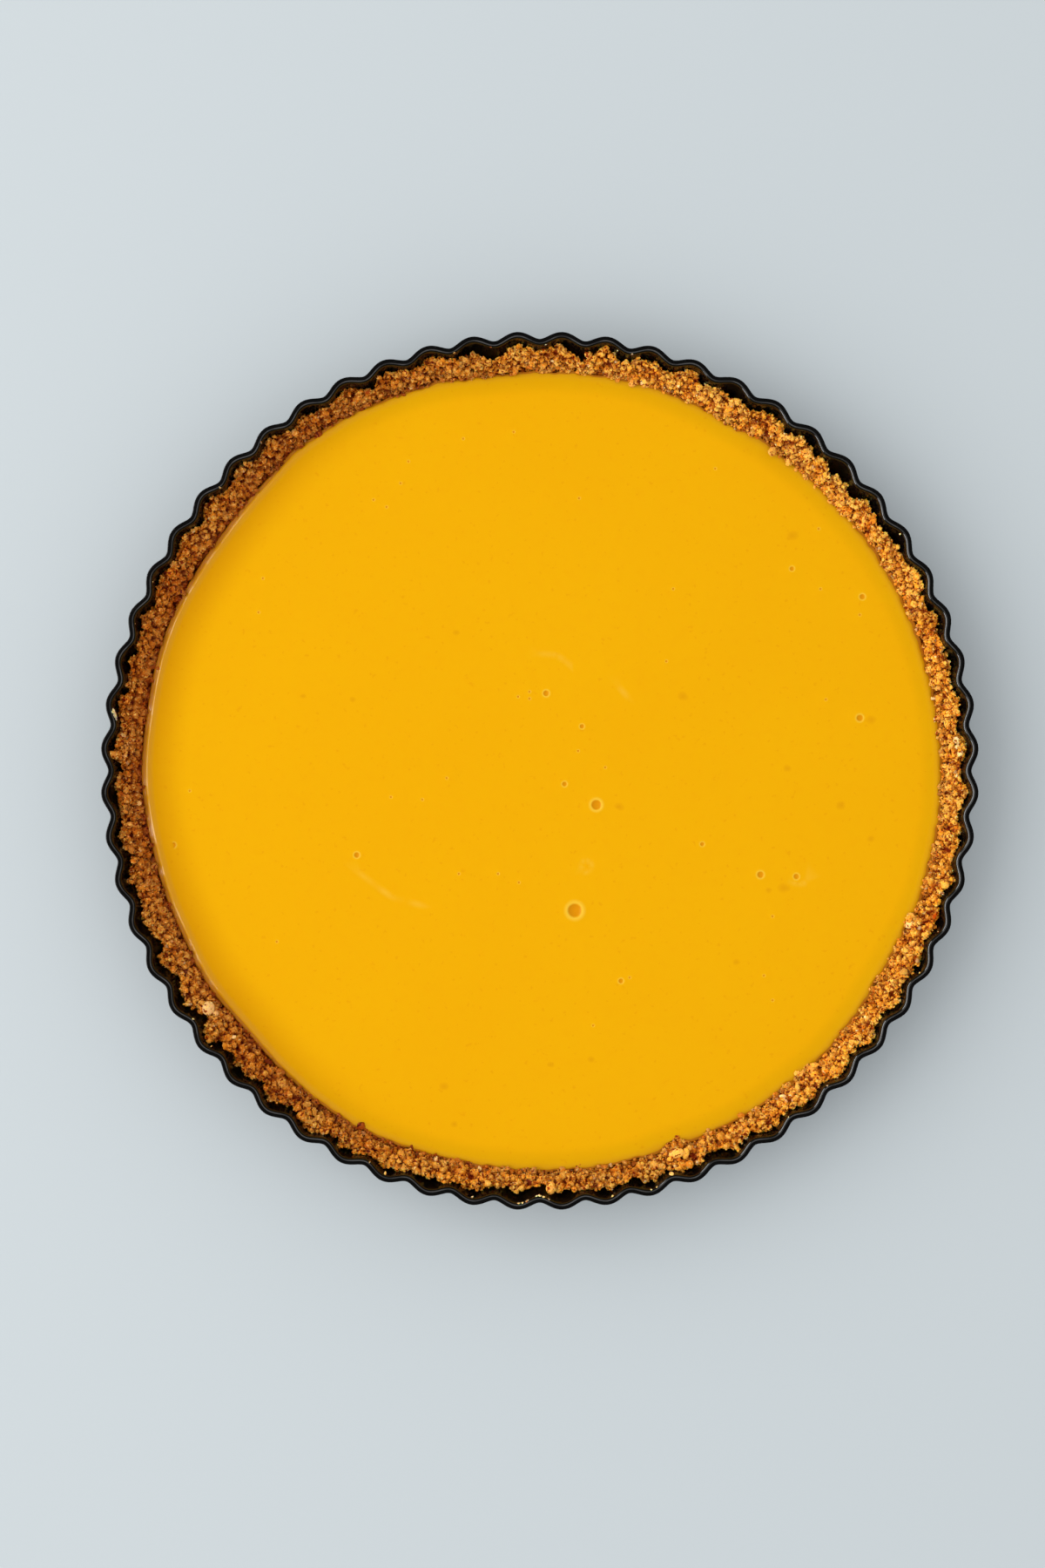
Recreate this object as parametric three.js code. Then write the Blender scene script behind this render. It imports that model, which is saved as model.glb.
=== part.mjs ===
// Passion fruit tart: a crumb crust pressed into a fluted tin and filled to just under its edge.
// Millimetres, +Z up, origin at the centre of the tin's flat underside.
import * as THREE from "three";

// The tin: pressed steel, with a wave of flutes round its leaning wall and a rolled rim.
const FLUTES = 60;
const TIN_DIAMETER = 280; // over the rim, from the top of one flute to the top of the opposite one
const TIN_HEIGHT = 28;
const TIN_THICKNESS = 0.8;
const FLUTE_DEPTH = 1.2; // from the wall's middle line to the top of a flute
const WALL_LEAN = THREE.MathUtils.degToRad(12.5);
const RIM_WIDTH = 2.1; // from the wall's inner face to the rim's outer edge
const RIM_HEIGHT = 1.8;

// The crust: crumbs and butter pressed over the base and up the wall, and left rough at the top.
const GAP = 0.35; // between two pieces that touch
const CRUST_BASE = 6; // thickness under the filling
const CRUST_DROP = 4.6; // from the rim's top to the crust's outer shoulder
const CRUST_RISE = 1.1; // from the shoulder to the ridge
const SHOULDER_ROUNDING = 1.7;
const INNER_SLOPE = 2.7; // how far the crust's inside leans back between the filling and its crest
const CREST_FALL = 0.5; // from the ridge to the inner crest
const CREST_SETBACK = 0.6; // the least the crest stands inside the ridge
const BREAKAGE = 1.1; // the most that the shoulder has crumbled away from the wall
const LUMP = { seed: 11, count: 68, height: 0.8 }; // long swells of the crust's top
const BROKEN = { seed: 23, count: 120 }; // places where its shoulder has crumbled
const CLOD = { seed: 47, count: 160, height: 0.48 }; // crumbs baked together
const CRUMB = { seed: 31, count: 480, height: 0.5 };

// The filling: set custard, level but for a lip that climbs the crust.
const FILLING_LEVEL = 20.4;
const FILLING_RADIUS = 127.6;
const FILLING_TAPER = 2.2; // how much narrower it is at its bottom
const LIP_HEIGHT = 0.7;
const LIP_WIDTH = 2.2;

// The filling's edge isn't a true circle: waves round the edge, then crumb clumps that reach into it.
const EDGE_WAVES = [
  { count: 1, height: 0.91, turn: -15 },
  { count: 2, height: 0.68, turn: 118 },
  { count: 3, height: 0.43, turn: -42 },
  { count: 5, height: 0.26, turn: -141 },
  { count: 6, height: 0.35, turn: -22 },
];
const CLUMPS = [
  { at: 289.8, halfWidth: 2.6, reach: 2.4, rise: 1.3 },
  { at: 337.6, halfWidth: 2.1, reach: 1.3, rise: 0.6 },
  { at: 60.5, halfWidth: 2.2, reach: 1.0, rise: 0.7 },
  { at: 112.0, halfWidth: 2.2, reach: 0.9, rise: 0.9 },
  { at: 328.0, halfWidth: 2.1, reach: 0.8, rise: 0.5 },
];

// Burst air bubbles: place on the filling and width.
const BUBBLES = [
  { x: 10.9, y: -44.7, width: 4.0 },
  { x: 18.0, y: -11.0, width: 3.0 },
  { x: 2.1, y: 24.9, width: 1.7 },
  { x: 7.6, y: -4.2, width: 1.6 },
  { x: 70.6, y: -33.2, width: 1.9 },
  { x: 102.5, y: 17.0, width: 1.8 },
  { x: 103.2, y: 55.9, width: 1.9 },
  { x: -58.7, y: -27.0, width: 1.7 },
  { x: -117.2, y: -23.8, width: 1.7 },
  { x: 25.7, y: -67.2, width: 1.6 },
];
const BUBBLE_SIDES = 12;
const BUBBLE_FLOOR = 0.75; // the pit's floor against its mouth
const BUBBLE_DEPTH = 0.18; // against its width

const STEPS_PER_FLUTE = 8;
const TIN_STEPS = FLUTES * STEPS_PER_FLUTE;
const FILLING_STEPS = TIN_STEPS / 2;
const RIM_INNER_RADIUS = TIN_DIAMETER / 2 - RIM_WIDTH - FLUTE_DEPTH;

// Numbers from 0 to 1 that are the same on every run.
function seededRandom(seed) {
  let state = seed;
  return () => {
    state = (state + 0x6d2b79f5) | 0;
    let t = Math.imul(state ^ (state >>> 15), 1 | state);
    t = (t + Math.imul(t ^ (t >>> 7), 61 | t)) ^ t;
    return ((t ^ (t >>> 14)) >>> 0) / 2 ** 32;
  };
}

// Smooth random height from -1 to 1 round the circle, with the given number of lumps.
function ringNoise(seed, lumps) {
  const random = seededRandom(seed);
  const heights = Array.from({ length: lumps }, () => 2 * random() - 1);
  return (angle) => {
    const place = ((angle / (2 * Math.PI)) * lumps + lumps) % lumps;
    const first = Math.floor(place);
    const blend = THREE.MathUtils.smoothstep(place - first, 0, 1);
    return THREE.MathUtils.lerp(heights[first % lumps], heights[(first + 1) % lumps], blend);
  };
}

// A closed ring of points: section(angle) gives [x, y, z].
function ring(steps, section) {
  return Array.from({ length: steps }, (_, i) => section((i / steps) * 2 * Math.PI));
}

function polar(radius, angle, z) {
  return [radius * Math.cos(angle), radius * Math.sin(angle), z];
}

// A point of the fluted wall at height z, moved out square to the wave by offset.
function flutedPoint(angle, z, offset) {
  const lean = (TIN_HEIGHT - z) * Math.tan(WALL_LEAN);
  const radius = RIM_INNER_RADIUS - lean - FLUTE_DEPTH * Math.cos(FLUTES * angle);
  const slope = FLUTE_DEPTH * FLUTES * Math.sin(FLUTES * angle);
  const length = Math.hypot(radius, slope);
  const normalX = (radius * Math.cos(angle) + slope * Math.sin(angle)) / length;
  const normalY = (radius * Math.sin(angle) - slope * Math.cos(angle)) / length;
  return [
    radius * Math.cos(angle) + normalX * offset,
    radius * Math.sin(angle) + normalY * offset,
    z,
  ];
}

// Collects triangles for one closed mesh.
class Skin {
  constructor() {
    this.positions = [];
  }

  triangle(a, b, c) {
    this.positions.push(...a, ...b, ...c);
  }

  // The band from one ring to the next, facing out where the next ring is above.
  band(lower, upper) {
    lower.forEach((start, i) => {
      const next = (i + 1) % lower.length;
      this.triangle(start, lower[next], upper[next]);
      this.triangle(start, upper[next], upper[i]);
    });
  }

  bands(rings) {
    rings.slice(1).forEach((upper, i) => this.band(rings[i], upper));
  }

  // A disc that closes a ring, facing up or down.
  disc(edge, z, facesUp) {
    edge.forEach((start, i) => {
      const next = edge[(i + 1) % edge.length];
      if (facesUp) this.triangle([0, 0, z], start, next);
      else this.triangle([0, 0, z], next, start);
    });
  }

  mesh(name, colour, roughness, metalness) {
    const geometry = new THREE.BufferGeometry();
    geometry.setAttribute("position", new THREE.Float32BufferAttribute(this.positions, 3));
    geometry.computeVertexNormals();
    const material = new THREE.MeshStandardMaterial({ color: colour, roughness, metalness });
    const mesh = new THREE.Mesh(geometry, material);
    mesh.name = name;
    return mesh;
  }
}

// The tin's skin runs from the underside up the outer wall, over the rolled rim and down the inner wall.
function makeTin() {
  const rimMiddle = TIN_HEIGHT - RIM_HEIGHT / 2;
  const fluted = (z, offset) => ring(TIN_STEPS, (angle) => flutedPoint(angle, z, offset));
  const rings = [
    fluted(0, TIN_THICKNESS),
    fluted(TIN_HEIGHT - RIM_HEIGHT, TIN_THICKNESS),
    fluted(rimMiddle, RIM_WIDTH),
    fluted(TIN_HEIGHT, RIM_WIDTH / 2),
    fluted(rimMiddle, 0),
    fluted(TIN_THICKNESS, 0),
  ];
  const skin = new Skin();
  skin.disc(rings[0], 0, false);
  skin.bands(rings);
  skin.disc(rings[rings.length - 1], TIN_THICKNESS, true);
  return skin.mesh("tin", 0x16130f, 0.35, 0.6);
}

// How far a clump reaches in at this angle, from 0 to 1.
function clumpShape(clump, angle) {
  const apart = Math.abs(THREE.MathUtils.radToDeg(angle) - clump.at) / clump.halfWidth;
  return apart < 1 ? 0.5 + 0.5 * Math.cos(Math.PI * apart) : 0;
}

function clumpSum(angle, size) {
  return CLUMPS.reduce((sum, clump) => sum + clump[size] * clumpShape(clump, angle), 0);
}

// Radius of the filling's edge at one of its corners, where it meets the crust.
function cornerRadius(corner) {
  const angle = (corner / FILLING_STEPS) * 2 * Math.PI;
  const waves = EDGE_WAVES.reduce(
    (sum, { count, height, turn }) =>
      sum + height * Math.cos(count * angle + THREE.MathUtils.degToRad(turn)),
    0,
  );
  return FILLING_RADIUS + waves - clumpSum(angle, "reach");
}

// The same between two corners, so that the crust's finer ring keeps to the filling's straight sides.
function fillingEdge(angle) {
  const place = (angle / (2 * Math.PI)) * FILLING_STEPS;
  const first = Math.floor(place);
  return THREE.MathUtils.lerp(cornerRadius(first), cornerRadius(first + 1), place - first);
}

// The crust's skin runs from its underside up the tin's wall, over the rough top and down to its base.
function makeCrust() {
  const underside = TIN_THICKNESS + GAP;
  const lump = ringNoise(LUMP.seed, LUMP.count);
  const crumbling = ringNoise(BROKEN.seed, BROKEN.count);
  const topRings = [0, 1, 2];
  const clods = topRings.map((i) => ringNoise(CLOD.seed + i, CLOD.count));
  const crumbs = topRings.map((i) => ringNoise(CRUMB.seed + i, CRUMB.count));

  // Height of the crust's top at an angle, each of its three rings with crumbs of its own.
  const top = (ringIndex, angle, rise) =>
    TIN_HEIGHT -
    CRUST_DROP +
    rise +
    LUMP.height * lump(angle) +
    CLOD.height * clods[ringIndex](angle) +
    CRUMB.height * crumbs[ringIndex](angle);
  const ridge = (angle) => CRUST_RISE + clumpSum(angle, "rise");
  const shoulder = (angle) => {
    const broken = BREAKAGE * Math.max(0, crumbling(angle));
    return flutedPoint(angle, top(0, angle, 0), -GAP - broken);
  };
  const ridgeRadius = (angle) => {
    const [x, y] = shoulder(angle);
    return Math.hypot(x, y) - SHOULDER_ROUNDING;
  };
  const crestRadius = (angle) =>
    Math.min(fillingEdge(angle) + INNER_SLOPE, ridgeRadius(angle) - CREST_SETBACK);

  const sections = [
    (angle) => flutedPoint(angle, underside, -GAP),
    shoulder,
    (angle) => polar(ridgeRadius(angle), angle, top(1, angle, ridge(angle))),
    (angle) => polar(crestRadius(angle), angle, top(2, angle, ridge(angle) - CREST_FALL)),
    (angle) => polar(fillingEdge(angle), angle, FILLING_LEVEL + LIP_HEIGHT),
    (angle) => polar(fillingEdge(angle) - FILLING_TAPER, angle, CRUST_BASE),
  ];
  const rings = sections.map((section) => ring(TIN_STEPS, section));
  const skin = new Skin();
  skin.disc(rings[0], underside, false);
  skin.bands(rings);
  skin.disc(rings[rings.length - 1], CRUST_BASE, true);
  return skin.mesh("crust", 0xb5702a, 0.9, 0);
}

// One burst bubble: a round pit below the filling's level. Its mouth is a hole in the flat top.
function bubbleRings({ x, y, width }) {
  const level = (share, depth) =>
    ring(BUBBLE_SIDES, (angle) => [
      x + (share * width * Math.cos(angle)) / 2,
      y + (share * width * Math.sin(angle)) / 2,
      FILLING_LEVEL - depth * width,
    ]);
  return [level(1, 0), level(BUBBLE_FLOOR, BUBBLE_DEPTH)];
}

// The filling's skin runs from its underside up its side and over the lip to the level top.
function makeFilling() {
  const inside = (inset, z) =>
    ring(FILLING_STEPS, (angle) => polar(fillingEdge(angle) - GAP - inset, angle, z));
  const underside = CRUST_BASE + GAP;
  const rings = [
    inside(FILLING_TAPER, underside),
    inside(0, FILLING_LEVEL + LIP_HEIGHT),
    inside(LIP_WIDTH / 2, FILLING_LEVEL + LIP_HEIGHT / 4), // the lip's curve is steepest at the crust
    inside(LIP_WIDTH, FILLING_LEVEL),
  ];
  const skin = new Skin();
  skin.disc(rings[0], underside, false);
  skin.bands(rings);

  const outline = rings[rings.length - 1];
  const bubbles = BUBBLES.map(bubbleRings);
  const mouths = bubbles.map(([mouth]) => mouth);
  const corners = [...outline, ...mouths.flat()];
  const flat = (points) => points.map(([x, y]) => new THREE.Vector2(x, y));
  const triangles = THREE.ShapeUtils.triangulateShape(flat(outline), mouths.map(flat));
  triangles.forEach(([a, b, c]) => skin.triangle(corners[a], corners[b], corners[c]));
  bubbles.forEach(([mouth, floor]) => {
    skin.band(mouth, floor);
    floor.slice(2).forEach((point, i) => skin.triangle(floor[0], floor[i + 1], point));
  });
  return skin.mesh("filling", 0xf2a900, 0.3, 0);
}

const tart = new THREE.Group();
tart.add(makeTin(), makeCrust(), makeFilling());

export default tart;
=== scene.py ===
import math

import bpy
import numpy as np
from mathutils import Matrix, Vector, geometry, noise


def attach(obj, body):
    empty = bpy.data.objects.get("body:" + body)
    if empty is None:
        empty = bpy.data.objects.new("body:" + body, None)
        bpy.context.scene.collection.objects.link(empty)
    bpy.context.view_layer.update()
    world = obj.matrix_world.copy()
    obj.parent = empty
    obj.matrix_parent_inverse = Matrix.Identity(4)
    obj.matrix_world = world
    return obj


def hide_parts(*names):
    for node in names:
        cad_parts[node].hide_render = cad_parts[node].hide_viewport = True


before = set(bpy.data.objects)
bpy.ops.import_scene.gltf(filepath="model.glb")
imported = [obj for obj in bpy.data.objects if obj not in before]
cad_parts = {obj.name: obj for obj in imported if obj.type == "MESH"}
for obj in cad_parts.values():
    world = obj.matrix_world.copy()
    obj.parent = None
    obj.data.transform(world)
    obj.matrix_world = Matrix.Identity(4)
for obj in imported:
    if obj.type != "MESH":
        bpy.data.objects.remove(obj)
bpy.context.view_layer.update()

scene = bpy.context.scene
MM = 0.001

# ---- Camera
# A 60 mm lens on a 36 mm sensor looks straight down. The tart stands a little right of the picture's
# centre, and a little above it.
CAMERA_HEIGHT = 859 * MM  # above the worktop
PICTURE_CENTRE = (-5.5 * MM, -4.2 * MM)


def add_object(name, data):
    """A new object in the scene."""
    made = bpy.data.objects.new(name, data)
    scene.collection.objects.link(made)
    return made


camera = add_object("camera", bpy.data.cameras.new("camera"))
camera.data.lens = 60
camera.data.sensor_width = 36
camera.location = (*PICTURE_CENTRE, CAMERA_HEIGHT)
scene.camera = camera

# ---- Tin
# A tart tin of pressed steel: sixty flutes round a leaning wall, whose top edge is rolled outwards to a rim.
# It is coated black on both sides. The flutes run down to the base, where they end in scallops.
FLUTES = 60
FLUTE_DEPTH = 1.2 * MM
TIN_HEIGHT = 28 * MM
WALL_LEAN = math.radians(12.5)
WALL_RADIUS = 136.7 * MM  # of the wall's inner face at the top, halfway between flute and hollow
SHEET = 0.8 * MM
SCALLOP = 6 * MM  # how far in the base the flutes run out
FOOT_BEND = 1.5 * MM
INNER_BEND = 1.0 * MM
OUTER_WALL = 24.2 * MM  # height of the straight wall outside, and inside
INNER_WALL = 24.5 * MM
RIM_TOP = 0.95 * MM  # how far out from the wall's inner face the rim is highest, and its inner radius
CROWN_RADIUS = 2.95 * MM  # of the rim's top, outwards of its highest line
CROWN_TILT = math.radians(16)  # where the crown meets the corner
CORNER_RADIUS = 0.3 * MM
CURL_RADIUS = 0.55 * MM  # of the rim's underside
CURL_DROP = 0.7 * MM  # from the corner's middle to the curl's
COLUMNS_PER_FLUTE = 20
WELD = 0.01 * MM  # points closer than this are merged
NEVER_ZERO = 1e-12
COATING = (0.0014, 0.0012, 0.001, 1)
COATING_CLOUDED = (0.003, 0.0026, 0.0022, 1)
COATING_SPECKLE = (0.05, 0.045, 0.04, 1)
# the grey of a painted reflection along the rim's top
COATING_PAINTED_REFLECTION = (0.058, 0.056, 0.054, 1)
PAINTED_REFLECTION_LINE = 0.57 * MM  # how far out from the wall's inner face the painted grey reflection runs along the rim
PAINTED_REFLECTION_REACH = 0.23 * MM  # to either side of that line
PAINTED_REFLECTION_CORE = 0.06 * MM


class Value:
    """A node's output. Arithmetic on it adds Math nodes, so a rule is written as a formula."""

    def __init__(self, graph, socket):
        self.graph = graph
        self.socket = socket

    def __add__(self, other):
        return self.graph.maths("ADD", self, other)

    def __sub__(self, other):
        return self.graph.maths("SUBTRACT", self, other)

    def __rsub__(self, other):
        return self.graph.maths("SUBTRACT", other, self)

    def __mul__(self, other):
        return self.graph.maths("MULTIPLY", self, other)

    def __truediv__(self, other):
        return self.graph.maths("DIVIDE", self, other)

    __radd__ = __add__
    __rmul__ = __mul__


class Graph:
    """A node tree that is written top down: each node is added with its settings and its inputs."""

    def __init__(self, tree):
        self.tree = tree
        tree.nodes.clear()

    def node(self, kind, settings=None, inputs=None):
        node = self.tree.nodes.new(kind)
        for name, value in (settings or {}).items():
            setattr(node, name, value)
        for name, value in (inputs or {}).items():
            socket = self.usable(node.inputs, name)
            if isinstance(value, Value):
                self.tree.links.new(value.socket, socket)
            else:
                socket.default_value = value
        return node

    @staticmethod
    def usable(sockets, name):
        if isinstance(name, int):
            return sockets[name]
        return next(s for s in sockets if s.enabled and s.name == name)

    def value(self, kind, settings=None, inputs=None, output=0):
        node = self.node(kind, settings, inputs)
        return Value(self, self.usable(node.outputs, output))

    def maths(self, operation, *terms):
        return self.value("ShaderNodeMath", {"operation": operation}, dict(enumerate(terms)))

    def vector(self, operation, *terms, output=0):
        return self.value("ShaderNodeVectorMath", {"operation": operation}, dict(enumerate(terms)), output)

    def scaled(self, vector, scale):
        return self.value("ShaderNodeVectorMath", {"operation": "SCALE"}, {0: vector, "Scale": scale})

    def split(self, vector):
        """The vector's X, Y and Z."""
        return [Value(self, s) for s in self.node("ShaderNodeSeparateXYZ", inputs={0: vector}).outputs]

    def joined(self, x, y, z):
        return self.value("ShaderNodeCombineXYZ", inputs={0: x, 1: y, 2: z})

    def ramp(self, value, low, high):
        """0 where value is at or under low, 1 where it is at or over high, and smooth between."""
        settings = {"interpolation_type": "SMOOTHSTEP"}
        inputs = {"Value": value, "From Min": low, "From Max": high}
        return self.value("ShaderNodeMapRange", settings, inputs, "Result")

    def mix(self, factor, first, second):
        """The colour first where factor is 0, and second where it is 1."""
        inputs = {0: factor, 6: first, 7: second}
        return self.value("ShaderNodeMix", {"data_type": "RGBA"}, inputs, "Result")

    def tint(self, factor, colour, tint):
        """The colour as it is where factor is 0, and multiplied by tint where it is 1."""
        settings = {"data_type": "RGBA", "blend_type": "MULTIPLY"}
        inputs = {0: factor, 6: colour, 7: (*tint, 1)}
        return self.value("ShaderNodeMix", settings, inputs, "Result")

    def attribute(self, name):
        """A number that the mesh carries at each point, read by a material."""
        return self.value("ShaderNodeAttribute", {"attribute_name": name}, output="Fac")

    def place(self):
        """Where on the object each point lies, read by a material."""
        return self.value("ShaderNodeTexCoord", output="Object")

    def noise(self, size, detail):
        """Noise from 0 to 1 whose lumps are about size across."""
        inputs = {"Vector": self.place(), "Scale": 1 / size, "Detail": detail}
        return self.value("ShaderNodeTexNoise", inputs=inputs)

    def relief(self, height, strength, distance):
        """A bump that is as high as distance where height is 1."""
        inputs = {"Height": height, "Strength": strength, "Distance": distance}
        return self.value("ShaderNodeBump", inputs=inputs)


def material_graph(name):
    """A new material and the graph of its nodes."""
    material = bpy.data.materials.new(name)
    material.use_nodes = True
    return material, Graph(material.node_tree)


def finish_material(graph, finish):
    """Gives the material a surface with this finish: values or links of the Principled BSDF's sockets."""
    surface = graph.node("ShaderNodeBsdfPrincipled", inputs=finish)
    output = graph.node("ShaderNodeOutputMaterial")
    graph.tree.links.new(surface.outputs[0], output.inputs["Surface"])


def node_rule(name, inputs):
    """A Geometry Nodes tree with the named inputs, and its graph and input values by name."""
    tree = bpy.data.node_groups.new(name, "GeometryNodeTree")
    tree.is_modifier = True
    tree.interface.new_socket("Geometry", in_out="INPUT", socket_type="NodeSocketGeometry")
    for label, kind in inputs.items():
        tree.interface.new_socket(label, in_out="INPUT", socket_type="NodeSocket" + kind)
    tree.interface.new_socket("Geometry", in_out="OUTPUT", socket_type="NodeSocketGeometry")
    graph = Graph(tree)
    start = graph.node("NodeGroupInput")
    return graph, {s.name: Value(graph, s) for s in start.outputs if s.name}


def end_rule(graph, shape, material):
    """Ends a rule's tree with the shape in its material."""
    painted = graph.value("GeometryNodeSetMaterial", inputs={"Geometry": shape, "Material": material})
    end = graph.node("NodeGroupOutput")
    graph.tree.links.new(painted.socket, end.inputs[0])


def keep(graph, shape, values, kind="FLOAT"):
    """Stores each of the values, numbers or vectors, on the points of shape under its name."""
    for name, value in values.items():
        inputs = {"Geometry": shape, "Name": name, "Value": value}
        shape = graph.value("GeometryNodeStoreNamedAttribute", {"data_type": kind}, inputs)
    return shape


def grow(name, start_mesh, graph, settings):
    """The plain mesh object that a rule makes from start_mesh."""
    piece = add_object(name, start_mesh)
    modifier = piece.modifiers.new("rule", "NODES")
    modifier.node_group = graph.tree
    for socket in graph.tree.interface.items_tree:
        if socket.in_out == "INPUT" and socket.name in settings:
            modifier[socket.identifier] = settings[socket.name]
    depsgraph = bpy.context.evaluated_depsgraph_get()
    made = bpy.data.meshes.new_from_object(
        piece.evaluated_get(depsgraph), preserve_all_data_layers=True, depsgraph=depsgraph
    )
    made.name = name
    piece.modifiers.remove(modifier)
    piece.data = made
    return piece


def arc(centre, radius, start, end, steps):
    """Points of an arc in the section: out from the wall, and up. Angles in degrees."""
    angles = np.radians(np.linspace(start, end, steps))
    return [(centre[0] + radius * math.cos(a), centre[1] + radius * math.sin(a)) for a in angles]


def wall_radius(height):
    """The radius of the wall's inner face, halfway between flute and hollow."""
    return WALL_RADIUS - (TIN_HEIGHT - height) * math.tan(WALL_LEAN)


def rim_section():
    """The rim's outline from its underside, out and over the top, to the wall's inner face."""
    corner_reach = CROWN_RADIUS - CORNER_RADIUS
    corner = (
        RIM_TOP + corner_reach * math.sin(CROWN_TILT),
        TIN_HEIGHT - CROWN_RADIUS + corner_reach * math.cos(CROWN_TILT),
    )
    side = corner[0] + CORNER_RADIUS
    tilt = math.degrees(CROWN_TILT)
    return (
        arc((side - CURL_RADIUS, corner[1] - CURL_DROP), CURL_RADIUS, -110, 0, 7)
        + arc(corner, CORNER_RADIUS, 0, 90 - tilt, 6)
        + arc((RIM_TOP, TIN_HEIGHT - CROWN_RADIUS), CROWN_RADIUS, 90 - tilt, 90, 10)[1:]
        + arc((RIM_TOP, TIN_HEIGHT - RIM_TOP), RIM_TOP, 90, 180, 16)[1:]
    )


def tin_section():
    """The sheet's outline, from the underside's middle round the rim to the middle of the base's top."""
    inwards = [1.0, 0.8, 0.6, 0.4, 0.22, 0.1]
    under = [(share * -wall_radius(0), 0.0) for share in inwards]
    scallops = [(-SCALLOP * share - INNER_BEND, 0.0) for share in (1, 0.8, 0.6, 0.4, 0.2)]
    outer_wall = [(SHEET, FOOT_BEND + OUTER_WALL * share) for share in (0.2, 0.4, 0.6, 0.8, 0.97)]
    inner_shares = (0.05, 0.2, 0.4, 0.6, 0.8, 1)
    inner_wall = [(0.0, TIN_HEIGHT - RIM_TOP - INNER_WALL * share) for share in inner_shares]
    top_scallops = [(out, SHEET) for out, _ in reversed(scallops)]
    top = [(share * -wall_radius(SHEET), SHEET) for share in reversed(inwards)]
    outer_bend = arc((SHEET - FOOT_BEND, FOOT_BEND), FOOT_BEND, -90, 0, 6)
    inner_bend = arc((-INNER_BEND, SHEET + INNER_BEND), INNER_BEND, 0, -90, 5)
    outside = under + scallops + outer_bend + outer_wall
    return outside + rim_section() + inner_wall + inner_bend + top_scallops + top


def coated_steel():
    """Glossy black coating, a little uneven, with faint speckle and a painted grey reflection along the
    rim's top.
    """
    material, graph = material_graph("black_coating")
    speckle = graph.ramp(graph.noise(0.5 * MM, 1), 0.66, 0.74)
    cloud = graph.noise(14 * MM, 4)
    colour = graph.mix(cloud, COATING, COATING_CLOUDED)
    colour = graph.mix(speckle * 0.15, colour, COATING_SPECKLE)
    height = graph.split(graph.place())[2]
    # Painted reflection: a thin grey line along the top of the rim, broken up here and there.
    from_line = graph.maths("ABSOLUTE", graph.attribute("outwards") - PAINTED_REFLECTION_LINE)
    painted_reflection = graph.ramp(from_line, PAINTED_REFLECTION_REACH, PAINTED_REFLECTION_CORE) * graph.ramp(height, 20 * MM, 25 * MM)
    reflection_breaks = graph.ramp(graph.noise(6 * MM, 3), 0.35, 0.65)
    finish = {
        "Base Color": graph.mix(painted_reflection * (0.35 + reflection_breaks * 0.65), colour, COATING_PAINTED_REFLECTION),
        "Roughness": 0.11 + cloud * 0.08 + speckle * 0.1,
        "Specular IOR Level": 0.36,
        "IOR": 1.55,
        "Normal": graph.relief(graph.noise(1.6 * MM, 2), 0.05, 0.05 * MM),
    }
    finish_material(graph, finish)
    return material


def tin_rule(material):
    """Turns the section round the tin's axis, and shifts each point with the wave of the flutes."""
    graph, given = node_rule(
        "fluted_tin",
        {"Flutes": "Float", "Flute Depth": "Float", "Columns": "Int", "Rows": "Int"},
    )
    rows = given["Rows"]
    columns = given["Columns"]
    grid = graph.value("GeometryNodeMeshGrid", inputs={"Vertices X": columns + 1, "Vertices Y": rows})
    index = graph.value("GeometryNodeInputIndex")
    column = graph.maths("FLOOR", (index + 0.5) / rows)
    row = index - column * rows
    section = graph.value(
        "GeometryNodeSampleIndex",
        {"data_type": "FLOAT_VECTOR"},
        {"Geometry": given["Geometry"], "Value": graph.value("GeometryNodeInputPosition"), "Index": row},
    )
    offset, share, height = graph.split(section)
    angle = column / columns * (2 * math.pi)
    sine = graph.maths("SINE", angle)
    cosine = graph.maths("COSINE", angle)
    turns = angle * given["Flutes"]
    depth = given["Flute Depth"] * share
    radius = wall_radius(height) - depth * graph.maths("COSINE", turns)
    slope = depth * given["Flutes"] * graph.maths("SINE", turns)
    length = graph.maths("SQRT", radius * radius + slope * slope + NEVER_ZERO)
    along = offset * radius / length + radius
    across = offset * slope / length
    place = graph.joined(along * cosine + across * sine, along * sine - across * cosine, height)
    shaped = graph.value("GeometryNodeSetPosition", inputs={"Geometry": grid, "Position": place})
    marked = keep(graph, shaped, {"outwards": offset})
    closed = graph.value("GeometryNodeMergeByDistance", inputs={"Geometry": marked, "Distance": WELD})
    smooth = graph.value("GeometryNodeSetShadeSmooth", inputs={"Geometry": closed})
    end_rule(graph, smooth, material)
    return graph


scallop_ends = (-SCALLOP - INNER_BEND, -INNER_BEND)
section = [(out, np.interp(out, scallop_ends, (0, 1)), up) for out, up in tin_section()]
section_mesh = bpy.data.meshes.new("tin_section")
section_mesh.from_pydata(section, [(i, i + 1) for i in range(len(section) - 1)], [])
flutes = {"Flutes": float(FLUTES), "Flute Depth": FLUTE_DEPTH, "Columns": FLUTES * COLUMNS_PER_FLUTE}
tin = grow("fluted_tin", section_mesh, tin_rule(coated_steel()), flutes | {"Rows": len(section)})
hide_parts("tin")
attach(tin, "root")

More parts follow.
